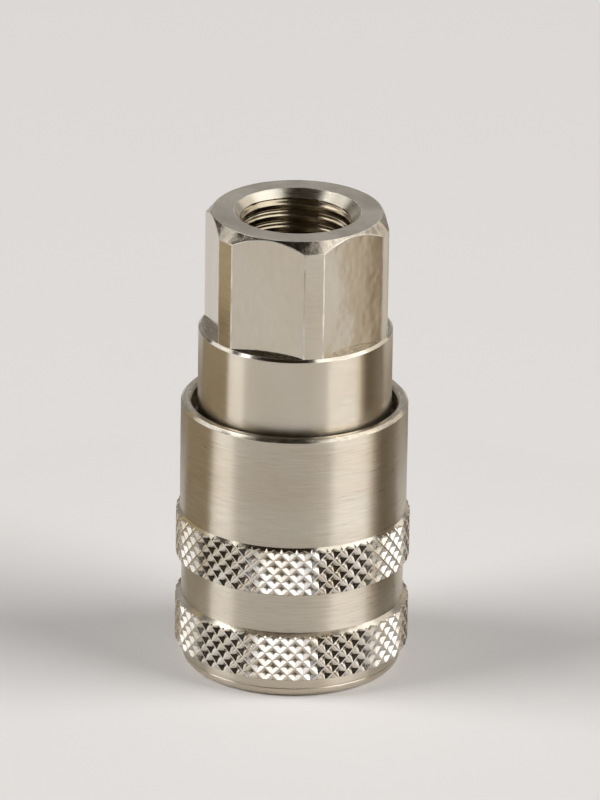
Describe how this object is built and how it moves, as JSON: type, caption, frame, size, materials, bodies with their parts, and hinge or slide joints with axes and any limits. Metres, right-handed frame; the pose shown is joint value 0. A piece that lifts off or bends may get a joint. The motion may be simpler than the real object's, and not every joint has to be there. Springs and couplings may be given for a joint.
{
  "type": "quick coupling",
  "caption": "Ball-lock quick coupling socket with a female threaded hex end, a polished shoulder and a knurled sleeve that pulls back against a spring to release the plug.",
  "frame": {"origin": "centre of the plug end's face, where the coupling stands", "axes": "+Z along the coupling's axis from the plug end to the threaded hex end; two hex flats face +Y and -Y"},
  "size_m": [0.026, 0.026, 0.0531],
  "materials": {
    "nickel_bright": "brass with bright nickel plating, polished, warm tone",
    "nickel_brushed": "brass with nickel plating over fine turning lines, and a diamond knurl",
    "spring_steel": "drawn spring steel wire and strip",
    "ball_steel": "polished bearing steel",
    "brass_turned": "turned brass, unplated",
    "seal_rubber": "black nitrile rubber",
    "seal_plastic": "off-white fluoropolymer, slightly waxy"
  },
  "bodies": {
    "root": {"rear_body": "nickel_bright", "front_body": "nickel_bright", "retaining_ring": "spring_steel", "valve_guide": "brass_turned", "plug_seal": "seal_rubber", "plug_backup_ring": "seal_plastic", "body_seal": "seal_rubber", "valve_spring": "spring_steel"},
    "sleeve_carrier": {"sleeve_spring": "spring_steel"},
    "sleeve": {"locking_sleeve": "nickel_brushed"},
    "valve": {"valve_poppet": "brass_turned", "valve_seal": "seal_rubber"},
    "ball_1": {"locking_ball_1": "ball_steel"},
    "ball_2": {"locking_ball_2": "ball_steel"},
    "ball_3": {"locking_ball_3": "ball_steel"},
    "ball_4": {"locking_ball_4": "ball_steel"},
    "ball_5": {"locking_ball_5": "ball_steel"},
    "ball_6": {"locking_ball_6": "ball_steel"},
    "ball_7": {"locking_ball_7": "ball_steel"},
    "ball_8": {"locking_ball_8": "ball_steel"}
  },
  "joints": [
    {"name": "sleeve_spin", "type": "hinge", "parent": "root", "child": "sleeve_carrier", "pos_m": [0, 0, 0.015], "axis": [0, 0, 1], "continuous": true},
    {"name": "sleeve_slide", "type": "slide", "parent": "sleeve_carrier", "child": "sleeve", "axis": [0, 0, 1], "range_m": [0, 0.0045], "stiffness_N_per_m": 1000, "springref_m": -0.006, "deforming": ["sleeve_spring"]},
    {"name": "valve_slide", "type": "slide", "parent": "root", "child": "valve", "axis": [0, 0, 1], "range_m": [0, 0.0045], "stiffness_N_per_m": 800, "springref_m": -0.001, "deforming": ["valve_spring"]},
    {"name": "ball_1_slide", "type": "slide", "parent": "root", "child": "ball_1", "axis": [0.9239, 0.3827, 0], "range_m": [0, 0.00097]},
    {"name": "ball_2_slide", "type": "slide", "parent": "root", "child": "ball_2", "axis": [0.3827, 0.9239, 0], "range_m": [0, 0.00097]},
    {"name": "ball_3_slide", "type": "slide", "parent": "root", "child": "ball_3", "axis": [-0.3827, 0.9239, 0], "range_m": [0, 0.00097]},
    {"name": "ball_4_slide", "type": "slide", "parent": "root", "child": "ball_4", "axis": [-0.9239, 0.3827, 0], "range_m": [0, 0.00097]},
    {"name": "ball_5_slide", "type": "slide", "parent": "root", "child": "ball_5", "axis": [-0.9239, -0.3827, 0], "range_m": [0, 0.00097]},
    {"name": "ball_6_slide", "type": "slide", "parent": "root", "child": "ball_6", "axis": [-0.3827, -0.9239, 0], "range_m": [0, 0.00097]},
    {"name": "ball_7_slide", "type": "slide", "parent": "root", "child": "ball_7", "axis": [0.3827, -0.9239, 0], "range_m": [0, 0.00097]},
    {"name": "ball_8_slide", "type": "slide", "parent": "root", "child": "ball_8", "axis": [0.9239, -0.3827, 0], "range_m": [0, 0.00097]}
  ],
  "couplings": [
    {"joint": "ball_1_slide", "follows": "sleeve_slide", "ratio": 0.21333},
    {"joint": "ball_2_slide", "follows": "sleeve_slide", "ratio": 0.21333},
    {"joint": "ball_3_slide", "follows": "sleeve_slide", "ratio": 0.21333},
    {"joint": "ball_4_slide", "follows": "sleeve_slide", "ratio": 0.21333},
    {"joint": "ball_5_slide", "follows": "sleeve_slide", "ratio": 0.21333},
    {"joint": "ball_6_slide", "follows": "sleeve_slide", "ratio": 0.21333},
    {"joint": "ball_7_slide", "follows": "sleeve_slide", "ratio": 0.21333},
    {"joint": "ball_8_slide", "follows": "sleeve_slide", "ratio": 0.21333}
  ]
}
